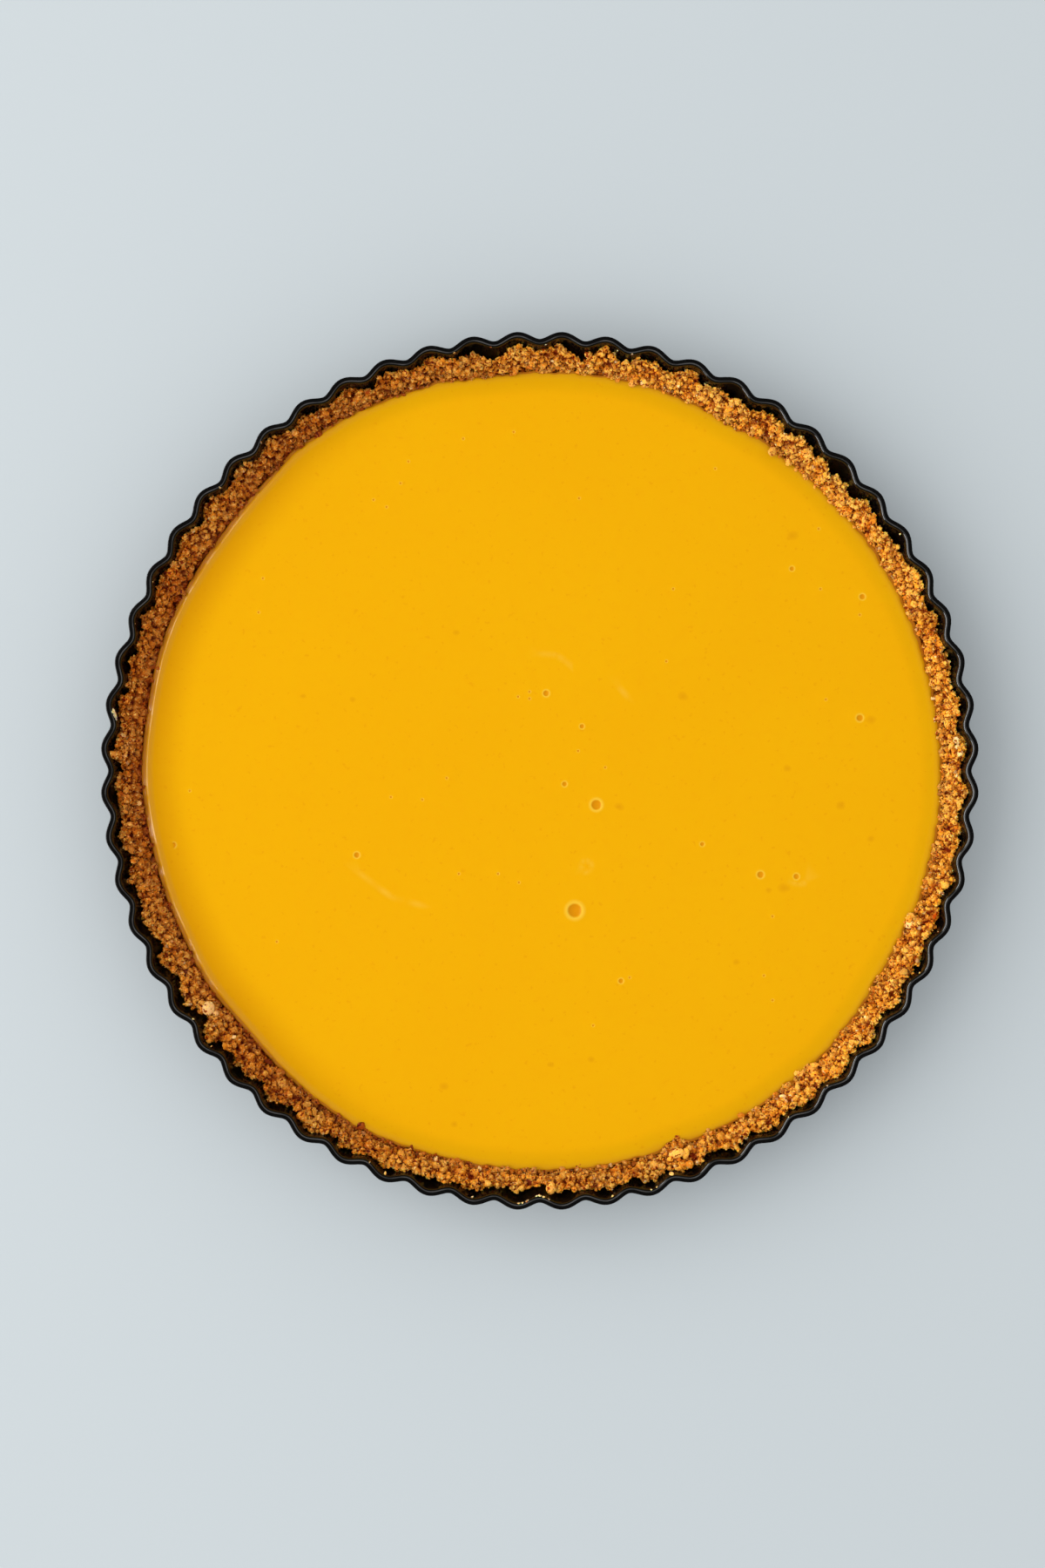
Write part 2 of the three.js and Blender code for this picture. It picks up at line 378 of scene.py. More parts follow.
# ---- Crust
# Biscuit crumbs pressed into the tin by hand, which follow its flutes and slope down to the filling. This
# is the mass of it: lumpy on top, crumbled away from the wall in places, and smooth where pressed most.
CRUST_COLUMNS = 1980
CRUST_ROWS = 36
CRUST_GAP = 0.35 * MM  # between the crust and the tin
CRUST_BASE = 6 * MM  # top of the crust under the filling
CRUST_UNDERSIDE = SHEET + CRUST_GAP
FILLING_LEVEL = 20.4 * MM
FILLING_RADIUS = 127.6 * MM
FILLING_TAPER = 2.2 * MM  # how much narrower the filling is at its foot
FILLING_GAP = 0.35 * MM  # between the filling and the crust
EDGE_WAVES = [  # count, mm, degrees
    (1, 1.0, -9),
    (2, 0.7, 121),
    (3, 0.55, -42),
    (4, 0.2, -20),
    (5, 0.26, -141),
    (6, 0.35, -16),
    (8, 0.18, 130),
    (9, 0.38, 22),
    (10, 0.2, 180),
]
CLUMPS = [  # degrees, half width, mm: where the crust stands into the filling, or back from it
    (289.8, 2.6, 2.2),
    (337.6, 2.1, 1.3),
    (60.5, 2.2, 1.0),
    (328, 2.1, 0.8),
    (307.5, 7, 0.9),
    (35, 4, -0.4),
    (55.5, 4, -0.7),
    (75, 10, -0.5),
    (104, 4, -0.5),
    (127.5, 4, -0.7),
    (181, 13, -1.3),
    (213, 11, -1.4),
    (243, 3, -0.7),
    (339, 7, -0.8),
]
EDGE_SHIFT = 0.3 * MM  # how far out the crust's foot shows at the filling's edge
RAGGED = (0.1, 0.8)  # mm: how ragged that edge is where it was pressed smooth, and how much more elsewhere
CONTACT_HEIGHT = 22.4 * MM  # where the top leaves the wall
HUMP = [(1.2, 25.7), (-2.2, 25.4)]  # mm out from there, and up: where the top's outer half bends to
SLOPE = (3.1, 24.2)  # mm out from the filling's edge, and up: the same for the inner half
CORNER_CURVE = 0.8 * MM  # of the crust's foot
BURIED = [  # mm up the wall, and how much of a break on top is left there
    (18.5, 0.8),
    (15.0, 0.2),
]
BREAKAGE = 3.6 * MM
BREAKS = [  # degrees, half width, mm: where more has crumbled away from the wall, or less
    (12, 5, 0.8),
    (29, 7, -1.2),
    (44.5, 4, 1.1),
    (68, 6, -0.7),
    (84, 3, 1.2),
    (89, 3, -1.0),
    (97.5, 4, 2.4),
    (142, 3, -1.4),
    (172, 3, -1.8),
    (187, 6, -0.9),
    (236, 8, -1.1),
    (247, 3, -1.2),
    (266, 8, 1.4),
    (271.5, 4, 1.9),
    (283.5, 4, 1.7),
    (295, 7, 1.2),
    (313, 3, -1.6),
    (335, 7, -0.9),
    (348, 5, -0.8),
]
SMOOTH_SIDE = math.radians(185)  # the side where the inner slope was pressed smoothest
SHADED_SIDE = math.radians(170)  # the side with the most painted shade, nearest the window, which the tin's wall shades
SIDE_SHADE_CHANGES = [  # degrees, half width, how much more or less painted shade there
    (82, 34, -0.24),
    (142, 13, -0.2),
    (210, 20, -0.2),
    (285, 28, 0.42),
]
CLOD_SIZE = 2.7 * MM
GRAIN_SIZE = 1.25 * MM
SWELL, HILLOCK, CLOD, GRAIN = 0.8, 0.9, 1.3, 0.45  # mm high
CLOD_CRACK, GRAIN_CRACK, HOLLOW = 0.9, 0.35, 0.7  # mm deep
LUMP_CLEARANCE = 0.1 * MM  # of the lumps, from the tin's wall
CRUMB_BROWN = (0.92, 0.26, 0.011, 1)
CRUMB_GOLD = (1.0, 0.395, 0.026, 1)
CRUMB_LIGHT = (1.0, 0.535, 0.085, 1)
CRUMB_PALE = (0.99, 0.76, 0.36, 1)
CRUMB_TIP_HIGHLIGHT = (0.98, 0.62, 0.16, 1)
SIDE_SHADE_TINT = (0.49, 0.335, 0.26)
UNDER_SHADE_TINT = (0.62, 0.26, 0.08)
PIT_SHADE_TINT = (0.32, 0.095, 0.03)
CRACK_SHADE_TINT = (0.20, 0.045, 0.015)
SOAKED_AND_SHADED_TINT = (0.48, 0.24, 0.08)


def polar(radii, angles, heights):
    """Points at radii, angles and heights, one for each angle."""
    shape = np.broadcast(radii, angles, heights).shape
    parts = (radii * np.cos(angles), radii * np.sin(angles), heights)
    return np.stack([np.broadcast_to(part, shape) for part in parts], -1)


def noise_at(places, size, seed):
    """Smooth noise from about -1 to 1 at each place, with lumps about size across."""
    flat = (places / size + seed).reshape(-1, 3).tolist()
    return np.array([noise.noise(place) for place in flat]).reshape(places.shape[:-1])


def lumps_at(places, size, seed):
    """Rounded lumps about size across: how high each place is on one, and how near a crack between two."""
    flat = (places / size + seed).reshape(-1, 3).tolist()
    nearest = np.array([noise.voronoi(place)[0][:2] for place in flat])
    first, second = nearest.T.reshape(2, *places.shape[:-1])
    dome = np.clip(1 - (first / 0.75) ** 2, 0, 1)
    crack = 1 - np.clip((second - first) / 0.35, 0, 1)
    return dome, crack


def round_noise(angles, size, seed):
    """Noise round the crust's edge."""
    return noise_at(polar(FILLING_RADIUS, angles, 0), size, seed)


def bumps(angles, places):
    """A rounded bump at each place, given in degrees with its half width, and its height in mm."""
    total = 0 * angles
    for place, half_width, height in places:
        away = np.abs((np.degrees(angles) - place + 180) % 360 - 180) / half_width
        total += height * MM * (0.5 + 0.5 * np.cos(math.pi * np.minimum(away, 1)))
    return total


def fade(values, low, high):
    """0 where values are at or under low, 1 at or over high, smooth between."""
    share = np.clip((values - low) / (high - low), 0, 1)
    return share * share * (3 - 2 * share)


def filling_edge(angles):
    """The radius of the filling's edge at each angle."""
    edge = np.full_like(angles, FILLING_RADIUS + EDGE_SHIFT)
    for count, height, turn in EDGE_WAVES:
        edge += height * MM * np.cos(count * angles + math.radians(turn))
    edge -= bumps(angles, CLUMPS)
    ragged = RAGGED[0] + RAGGED[1] * fade(-np.cos(angles - SMOOTH_SIDE), -0.8, -0.2)
    return edge + ragged * MM * round_noise(angles, 3.2 * MM, 5)


def fluted_radius(angles, height):
    """The radius of the tin's inner face."""
    return wall_radius(height) - FLUTE_DEPTH * np.cos(FLUTES * angles)


def skin(rows, columns):
    """Faces round an axis between rows of points, given from the top's middle to the underside's middle."""
    index = np.arange(rows * columns).reshape(rows, columns)
    after = np.roll(index, -1, axis=1)
    quads = np.stack([index[:-1], index[1:], after[1:], after[:-1]], -1).reshape(-1, 4).tolist()
    top, bottom = rows * columns, rows * columns + 1
    fans = [(top, a, b) for a, b in zip(index[0].tolist(), after[0].tolist())]
    fans += [(a, bottom, b) for a, b in zip(index[-1].tolist(), after[-1].tolist())]
    return quads + fans


def set_numbers(mesh, values):
    """Stores the numbers of each kind in values on the mesh's points."""
    for label, numbers in values.items():
        layer = mesh.attributes.new(label, "FLOAT", "POINT")
        layer.data.foreach_set("value", np.asarray(numbers, dtype=np.float32))


def mesh_piece(name, points, faces, values, material):
    """A mesh object with a number of each kind in values at each point."""
    mesh = bpy.data.meshes.new(name)
    mesh.from_pydata(np.asarray(points).tolist(), [], faces)
    set_numbers(mesh, values)
    mesh.shade_smooth()
    mesh.materials.append(material)
    return add_object(name, mesh)


def crumb_colour(graph, grain):
    """Browned biscuit, paler on some grains and darker where soaked, with painted shade in its lows and
    painted highlights.
    """
    tone_and_shade = graph.attribute("tone_and_shade") + (graph.noise(grain, 3) - 0.5) * 0.8
    colour = graph.mix(graph.ramp(tone_and_shade, -1.0, 0.1), CRUMB_BROWN, CRUMB_GOLD)
    colour = graph.mix(graph.ramp(tone_and_shade, 0.1, 0.9), colour, CRUMB_LIGHT)
    colour = graph.mix(graph.attribute("pale"), colour, CRUMB_PALE)
    # Painted shade, strongest on the window side, which the tin's wall shades from the light.
    colour = graph.tint(graph.attribute("side_shade"), colour, SIDE_SHADE_TINT)
    # Painted highlights: small bright spots scattered by noise, as on lit grain tips.
    tip_highlights = graph.ramp(graph.noise(0.8 * MM, 1), 0.56, 0.68)
    colour = graph.mix(tip_highlights * 0.4, colour, CRUMB_TIP_HIGHLIGHT)
    # Painted shade on the undersides of grains.
    colour = graph.tint(graph.attribute("under"), colour, UNDER_SHADE_TINT)
    # Painted shade: small dark pits scattered by noise.
    pit_shade = graph.ramp(graph.noise(1.1 * MM, 1), 0.41, 0.34)
    colour = graph.tint(pit_shade, colour, PIT_SHADE_TINT)
    # Painted shade in cracks and hollows.
    colour = graph.tint(graph.attribute("crack"), colour, CRACK_SHADE_TINT)
    # Soaked-in filling, darker and redder, partly painted shade.
    return graph.tint(graph.attribute("soak_and_shade"), colour, SOAKED_AND_SHADED_TINT)


def baked_crumb(name, grain):
    """Baked biscuit whose surface is rough with grains of this size, and lets a little light through."""
    material, graph = material_graph(name)
    finish = {
        "Base Color": crumb_colour(graph, grain),
        "Roughness": 0.55 - graph.attribute("soak_and_shade") * 0.1,
        "Specular IOR Level": 0.04,
        "Coat Weight": graph.attribute("soak_and_shade") * 0.15,
        "Coat Roughness": 0.35,
        "Subsurface Weight": 0.5,
        "Subsurface Radius": (1.0, 0.3, 0.06),
        "Subsurface Scale": 0.5 * MM,
        "Normal": graph.relief(graph.noise(grain, 3), 0.6, grain * 0.4),
    }
    finish_material(graph, finish)
    return material


angles = np.arange(CRUST_COLUMNS) * (2 * math.pi / CRUST_COLUMNS)
edge = filling_edge(angles)
broken = np.clip(round_noise(angles, 5.5 * MM, 11) - 0.12, 0, 1) * BREAKAGE
broken += np.clip(round_noise(angles, 1.3 * MM, 12), -0.2, 1) * 0.45 * MM
broken += bumps(angles, BREAKS)
lobes = 0.5 - 0.5 * np.cos(FLUTES * angles)
inset = 0.58 * np.cos(2 * angles + math.radians(99)) + 0.29 * np.cos(3 * angles - math.radians(23))
broken = np.clip(broken + 0.5 * MM * lobes - 0.25 * MM - inset * MM, -0.9 * MM, 4 * MM)


def crust_wall(height):
    """The radius of the crust's outside where nothing is broken away."""
    return fluted_radius(angles, height) - CRUST_GAP


contact = crust_wall(CONTACT_HEIGHT) - broken
controls = [(contact, CONTACT_HEIGHT)]
controls += [(contact + away * MM, up * MM) for away, up in HUMP]
controls += [(edge + SLOPE[0] * MM, SLOPE[1] * MM), (edge + 0.1 * MM, FILLING_LEVEL - 0.2 * MM)]
share = np.linspace(1, 0, CRUST_ROWS)[:, None]
weights = [math.comb(4, k) * share**k * (1 - share) ** (4 - k) for k in range(5)]
radii = sum(weight * control[0] for weight, control in zip(weights, controls))
heights = sum(weight * control[1] for weight, control in zip(weights, controls)) + 0 * radii
run, rise = np.gradient(radii, axis=0), np.gradient(heights, axis=0)
length = np.hypot(run, rise)
out, up = -rise / length, run / length
places = polar(radii, angles, heights)
pressed = fade(share, 0.5, 0.8) * np.clip(0.15 + 0.5 * np.cos(angles - SMOOTH_SIDE), 0, 1)
loose = (fade(1 - share, -0.12, 0.04) * fade(share, -0.15, 0.06) + 0 * radii) * (1 - 0.7 * pressed)
swell = noise_at(places, 12 * MM, 21)
hillock = noise_at(places, 4.5 * MM, 24)
clod, clod_crack = lumps_at(places, CLOD_SIZE, 22)
grain, grain_crack = lumps_at(places, GRAIN_SIZE, 23)
hollow = fade(noise_at(places, 1.5 * MM, 25), 0.25, 0.4) * (loose + 0.5 * pressed)
offset = swell * SWELL + hillock * HILLOCK + (clod - 0.6) * CLOD - clod_crack**2 * CLOD_CRACK
offset += (grain - 0.5) * GRAIN - grain_crack**2 * GRAIN_CRACK
offset = (loose * offset - hollow * HOLLOW) * MM
radii = np.minimum(radii + out * offset, fluted_radius(angles, heights) - LUMP_CLEARANCE)
heights = heights + up * offset
hidden = [
    (edge - FILLING_TAPER + FILLING_GAP, CRUST_BASE),
    (edge - FILLING_TAPER * 0.4, CRUST_BASE + 8 * MM),
]
buried = [(crust_wall(up * MM) - np.maximum(broken, 0) * left, up * MM) for up, left in BURIED]
buried += [
    (crust_wall(CRUST_UNDERSIDE + CORNER_CURVE), CRUST_UNDERSIDE + CORNER_CURVE),
    (crust_wall(CRUST_UNDERSIDE) - CORNER_CURVE, CRUST_UNDERSIDE),
]
rows = [polar(radius, angles, height) for radius, height in [*hidden, *zip(radii, heights), *buried]]
points = np.concatenate(rows + [np.array([[0, 0, CRUST_BASE], [0, 0, CRUST_UNDERSIDE]])])


def padded(values):
    """The top's values, with 0 for each hidden point before and after it."""
    before, after = len(hidden) * CRUST_COLUMNS, len(buried) * CRUST_COLUMNS + 2
    return np.concatenate([np.zeros(before), (values + 0 * radii).ravel(), np.zeros(after)])


smooth_side = fade(np.cos(angles - SMOOTH_SIDE), -0.2, 0.6)
# Crust soaked with filling at its foot, with painted shade there too, most on the smooth side, which faces
# away from the light.
soaked_and_shaded = 0.35 + 0.6 * smooth_side + 0.2 * round_noise(angles, 6 * MM, 31)
soak_and_shade = fade(1 - share, 0.12, 0.0) * soaked_and_shaded + 0.3 * pressed
# Painted shade in the cracks between lumps and grains, and in hollows.
crack = np.clip((clod_crack**2.5 * 1.2 + grain_crack**3 * 0.5) * loose + hollow * 0.9, 0, 1)
verge = fade(share, 0.88, 0.98) * fade(-np.cos(angles - SMOOTH_SIDE), -0.8, -0.4)
verge = verge * np.clip(0.7 + 0.9 * round_noise(angles, 2.5 * MM, 34), 0, 1.4)
# Tone that varies at random, plus painted shade: darker low on grains and clods, lighter on their tops.
tone_and_shade = noise_at(places, 7 * MM, 33) * 0.5 + (grain - 0.4) * 0.8 + (clod - 0.4) * 1.1
# Painted shade by the side of the tin, strongest on the window side.
side_shade = fade(np.cos(angles - SHADED_SIDE), -0.8, 1.0) + bumps(angles, SIDE_SHADE_CHANGES) / MM
crumbly = loose * (1 - 0.85 * clod_crack) * (1 - 0.5 * grain_crack) + 1.2 * verge
crust = mesh_piece(
    "pressed_crust",
    points,
    skin(len(rows), CRUST_COLUMNS),
    {
        "soak_and_shade": padded(np.clip(soak_and_shade, 0, 1)),
        "crack": padded(crack),
        "tone_and_shade": padded(tone_and_shade),
        "pale": padded(0),
        "side_shade": padded(np.clip(side_shade, 0, 1)),
        # A little painted shade over the loose top.
        "under": padded(loose * 0.1),
        "crumbly": padded(crumbly * (1 - 0.9 * np.clip(hollow, 0, 1))),
        "verge": padded(verge),
    },
    baked_crumb("pressed_crumb", 0.5 * MM),
)
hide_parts("crust")
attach(crust, "root")

# ---- Crumbs
# Single grains of biscuit that stand out of the crust's top, from dust to pieces of 2.5 mm, baked onto it.
# Each is a roughened ball, stretched and turned at random, and none stands through the tin's wall.
CRUMB_KINDS = [
    # name, how many per m2 where it is loose, seed, smallest and largest mm, subdivisions, pale share
    ("dust_crumbs", 0.98e6, 40, 0.3, 0.5, 1, 0.05),
    ("fine_crumbs", 1.0e6, 41, 0.42, 0.68, 1, 0.04),
    ("small_crumbs", 0.98e6, 42, 0.55, 0.9, 1, 0.03),
    ("rough_crumbs", 1.0e6, 45, 0.7, 1.15, 1, 0.03),
    ("medium_crumbs", 0.24e6, 43, 1.0, 1.6, 2, 0.03),
    ("coarse_crumbs", 0.03e6, 44, 1.6, 2.5, 2, 0.02),
]
WOBBLE_SIZE = 0.55 * MM  # of the bumps on a grain
WOBBLE_SHARE = 0.7  # how far they shift its skin, as a share of the roughness
WALL_CLEARANCE = 0.06 * MM  # of the crumbs, from the tin's wall


def named(graph, name, kind="FLOAT"):
    """What is stored under a name at each point, read by a rule."""
    inputs = {"Name": name}
    return graph.value("GeometryNodeInputNamedAttribute", {"data_type": kind}, inputs, "Attribute")


def chance(graph, low, high, seed):
    """A random number, or a random vector between two vectors, for each point."""
    kind = "FLOAT_VECTOR" if isinstance(low, tuple) else "FLOAT"
    inputs = {"Min": low, "Max": high, "Seed": seed}
    return graph.value("FunctionNodeRandomValue", {"data_type": kind}, inputs, "Value")


def keep_inside_tin(graph, shape):
    """Presses what would stand through the tin's wall flat against it."""
    x, y, height = graph.split(graph.value("GeometryNodeInputPosition"))
    reach = graph.maths("SQRT", x * x + y * y)
    flute = graph.maths("COSINE", graph.maths("ARCTAN2", y, x) * float(FLUTES))
    into_rim = graph.maths("MAXIMUM", height - (TIN_HEIGHT - RIM_TOP), 0.0)
    opening = RIM_TOP - graph.maths("SQRT", RIM_TOP**2 - into_rim * into_rim)
    wall = wall_radius(height) - flute * FLUTE_DEPTH
    share = graph.maths("MINIMUM", (wall + opening - WALL_CLEARANCE) / reach, 1.0)
    place = graph.joined(x * share, y * share, height)
    return graph.value("GeometryNodeSetPosition", inputs={"Geometry": shape, "Position": place})


def grow_grains(graph, given, points, material):
    """Grows a roughened grain on each point, and marks how far each part of it lies under its middle, for
    painted shade.
    """
    inputs = {"Radius": 0.5, "Subdivisions": given["Rounds"]}
    ball = graph.value("GeometryNodeMeshIcoSphere", inputs=inputs)
    size = named(graph, "size")
    stretch = chance(graph, (0.5, 0.5, 0.5), (1.4, 1.4, 1.4), 6)
    crumbs = graph.value(
        "GeometryNodeInstanceOnPoints",
        inputs={
            "Points": points,
            "Instance": ball,
            "Rotation": chance(graph, (0, 0, 0), (6.28, 6.28, 6.28), 7),
            "Scale": graph.scaled(stretch, size),
        },
    )
    solid = graph.value("GeometryNodeRealizeInstances", inputs={"Geometry": crumbs})
    position = graph.value("GeometryNodeInputPosition")
    wobble = graph.value(
        "ShaderNodeTexNoise",
        inputs={"Vector": position, "Scale": 1 / WOBBLE_SIZE, "Detail": 1.0},
        output="Color",
    )
    centred = graph.vector("SUBTRACT", wobble, (0.5, 0.5, 0.5))
    shift = graph.scaled(centred, given["Roughness"] * WOBBLE_SHARE)
    rough = graph.value("GeometryNodeSetPosition", inputs={"Geometry": solid, "Offset": shift})
    rough = keep_inside_tin(graph, rough)
    from_middle = graph.vector("SUBTRACT", position, named(graph, "middle", "FLOAT_VECTOR"))
    facing = named(graph, "facing", "FLOAT_VECTOR")
    rise = graph.vector("DOT_PRODUCT", from_middle, facing, output="Value")
    # Painted shade, darker towards each grain's underside.
    under = graph.ramp(rise / size, -0.05, -0.5)
    end_rule(graph, keep(graph, rough, {"under": under}), material)


def crumb_rule(material):
    """Scatters roughened grains over a mesh, more where it is crumbly."""
    measures = ("Density", "Smallest", "Largest", "Roughness", "Pale Share")
    inputs = dict.fromkeys(measures, "Float") | {"Seed": "Int", "Rounds": "Int"}
    graph, given = node_rule("scattered_crumbs", inputs)
    density = given["Density"] * named(graph, "crumbly")
    scatter = graph.node(
        "GeometryNodeDistributePointsOnFaces",
        {"distribute_method": "RANDOM"},
        {"Mesh": given["Geometry"], "Density": density, "Seed": given["Seed"]},
    )
    normal = Value(graph, scatter.outputs["Normal"])
    spots = Value(graph, scatter.outputs["Points"])
    size = given["Smallest"] + (given["Largest"] - given["Smallest"]) * chance(graph, 0.0, 1.0, 1)
    stand = size * (chance(graph, -0.3, 0.4, 2) + named(graph, "verge") * 0.6)
    lift = graph.scaled(normal, stand)
    marked = graph.value("GeometryNodeSetPosition", inputs={"Geometry": spots, "Offset": lift})
    pale = graph.maths("LESS_THAN", chance(graph, 0.0, 1.0, 4), given["Pale Share"])
    numbers = {
        "tone_and_shade": named(graph, "tone_and_shade") + chance(graph, -0.5, 0.5, 3),
        "size": size,
        "pale": pale * chance(graph, 0.4, 1.0, 5),
        # Painted shade in cracks, taken over from the crust.
        "crack": named(graph, "crack") * 0.7,
    }
    vectors = {"middle": graph.value("GeometryNodeInputPosition"), "facing": normal}
    marked = keep(graph, keep(graph, marked, numbers), vectors, "FLOAT_VECTOR")
    grow_grains(graph, given, marked, material)
    return graph


def add_to_crust(name, start_mesh, rule, settings):
    """Grows a piece of crumbs that goes with the crust."""
    piece = grow(name, start_mesh, rule, settings)
    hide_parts("crust")
    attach(piece, "root")


crumb_material = baked_crumb("loose_crumb", 0.35 * MM)
scatter_rule = crumb_rule(crumb_material)
for name, density, seed, smallest, largest, rounds, pale_share in CRUMB_KINDS:
    sizes = {"Smallest": smallest * MM, "Largest": largest * MM, "Roughness": largest * MM}
    amounts = {"Density": density, "Seed": seed, "Rounds": rounds, "Pale Share": pale_share}
    add_to_crust(name, crust.data.copy(), scatter_rule, sizes | amounts)

# ---- Larger pieces and loose crumbs
# Bigger bits of biscuit that stand out in the crust, some of them pale, and the crumbs that fell on the
# tin's rim. They are the same grains, placed one by one.
LARGE_PIECES = [  # degrees, mm from the axis, mm across, tone, how pale
    (215.6, 130.2, 3.3, 0.5, 0.6), (216.8, 129.4, 2.2, 0.5, 0.5), (221.0, 129.6, 2.0, 0.5, 0.7),
    (184.6, 128.9, 1.7, 0.3, 0.5), (178.0, 132.9, 1.7, 0.3, 0.5), (187.5, 132.5, 2.6, 0.6, 0.1),
    (126.0, 133.6, 2.2, 0.6, 0.2), (107.0, 132.0, 2.6, 0.5, 0.0), (105.6, 133.6, 2.0, 0.5, 0.0),
    (134.4, 136.2, 1.9, 0.7, 0.4), (133.1, 136.5, 1.6, 0.7, 0.3), (249.8, 134.4, 1.9, 0.4, 0.6),
    (255.0, 128.8, 1.7, 0.3, 0.6), (261.4, 129.1, 1.7, 0.3, 0.6), (271.5, 133.3, 3.4, 0.3, 0.1),
    (289.7, 129.9, 4.2, 0.5, 0.1), (288.6, 130.9, 2.8, 0.4, 0.0), (290.9, 131.0, 2.8, 0.6, 0.0),
    (289.4, 133.9, 3.2, 0.3, 0.0), (306.8, 130.4, 1.9, 0.4, 0.7), (337.5, 128.4, 2.4, 0.4, 0.6),
    (324.4, 126.7, 1.2, 0.4, 0.8), (3.3, 133.9, 2.8, 0.8, 0.7), (4.2, 133.6, 2.4, 0.8, 0.7),
    (2.4, 134.4, 2.0, 0.8, 0.6), (24.4, 135.7, 1.7, 0.8, 0.5), (7.4, 127.9, 1.3, 0.6, 0.8),
]  # fmt: skip
HIGHEST = 0.72  # how far a grain's middle stays under the tin's top, as a share of its size
LOOSE_CRUMBS = [  # the same, on the tin
    (101.5, 137.2, 0.9, 0.7, 0.0), (96.6, 135.8, 0.7, 0.5, 1.0), (79.5, 136.0, 0.6, 0.5, 0.9),
    (77.5, 137.1, 0.5, 0.5, 0.9), (89.2, 135.8, 0.6, 0.5, 0.9), (130.3, 137.2, 0.6, 0.5, 0.6),
    (138.5, 137.2, 0.5, 0.5, 0.6), (154.0, 137.2, 0.5, 0.5, 0.4), (160.0, 137.3, 0.5, 0.5, 0.4),
    (172.5, 137.2, 2.0, 0.5, 1.0), (173.0, 137.0, 1.5, 0.5, 1.0), (172.0, 137.5, 1.4, 0.5, 1.0),
    (172.2, 137.5, 0.9, 0.5, 1.0), (172.6, 137.4, 0.9, 0.5, 1.0), (215.6, 135.9, 0.7, 0.5, 0.8),
    (220.0, 136.4, 0.6, 0.5, 0.6), (246.5, 137.5, 0.6, 0.6, 0.4), (249.0, 137.3, 1.0, 0.6, 0.3),
    (261.0, 137.3, 0.7, 0.5, 0.7), (267.2, 137.9, 0.8, 0.6, 0.4), (267.7, 137.7, 0.7, 0.6, 0.7),
    (268.3, 137.3, 0.8, 0.6, 0.5), (269.6, 135.4, 1.2, 0.6, 0.9), (270.0, 135.4, 1.3, 0.6, 0.8),
    (270.5, 135.8, 1.0, 0.6, 0.5), (271.2, 137.4, 0.7, 0.5, 0.7), (279.7, 137.6, 1.1, 0.6, 0.4),
    (284.9, 138.1, 0.7, 0.6, 0.5), (285.7, 138.0, 0.8, 0.6, 0.5), (288.1, 135.1, 1.4, 0.5, 0.3),
    (305.7, 135.8, 0.6, 0.5, 0.7), (312.4, 136.1, 0.6, 0.5, 0.6), (332.0, 137.1, 0.6, 0.6, 0.3),
    (338.0, 136.9, 0.6, 0.5, 0.7), (33.3, 137.3, 0.6, 0.5, 0.7),
]  # fmt: skip


def placed_rule(material):
    """Grows grains on points given one by one, with their size, tone and paleness."""
    graph, given = node_rule("placed_crumbs", {"Roughness": "Float", "Rounds": "Int"})
    vectors = {"middle": graph.value("GeometryNodeInputPosition"), "facing": graph.joined(0.0, 0.0, 1.0)}
    grow_grains(graph, given, keep(graph, given["Geometry"], vectors, "FLOAT_VECTOR"), material)
    return graph


def crust_height(place, reach):
    """How high the crust's top is at an angle and a distance from the axis."""
    column = round(place * CRUST_COLUMNS / 360) % CRUST_COLUMNS
    return heights[np.abs(radii[:, column] - reach).argmin(), column]


def rim_height(place, reach):
    """How high the rim's inner flank is at an angle and a distance from the axis."""
    away = np.clip(fluted_radius(math.radians(place), TIN_HEIGHT) + RIM_TOP - reach, 0, RIM_TOP)
    return TIN_HEIGHT - RIM_TOP + math.sqrt(RIM_TOP**2 - away**2)


def placed_crumbs(name, crumbs, height_at, raised, settings):
    """A piece with one grain for each entry, whose middle is raised by a share of its size."""
    middles, side_shade = [], []
    for place, reach, size, tone_and_shade, pale in crumbs:
        turn = math.radians(place)
        height = min(height_at(place, reach * MM) + size * MM * raised, TIN_HEIGHT - size * MM * HIGHEST)
        middles.append((reach * MM * math.cos(turn), reach * MM * math.sin(turn), height))
        # Painted shade on the window side, less on pale pieces.
        side_shade.append(fade(math.cos(turn - SHADED_SIDE), -0.8, 1.0) * (1 - 0.6 * pale))
    spots = bpy.data.meshes.new(name + "_spots")
    spots.from_pydata(middles, [], [])
    _, _, size, tone_and_shade, pale = np.array(crumbs).T
    none = np.zeros(len(crumbs))
    set_numbers(spots, {"size": size * MM, "tone_and_shade": tone_and_shade, "pale": pale})
    set_numbers(spots, {"side_shade": side_shade, "crack": none, "soak_and_shade": none})
    add_to_crust(name, spots, placed_rule(crumb_material), settings)


placed_crumbs("large_pieces", LARGE_PIECES, crust_height, 0.2, {"Roughness": 1.1 * MM, "Rounds": 3})
placed_crumbs("loose_crumbs", LOOSE_CRUMBS, rim_height, 0.05, {"Roughness": 0.5 * MM, "Rounds": 2})

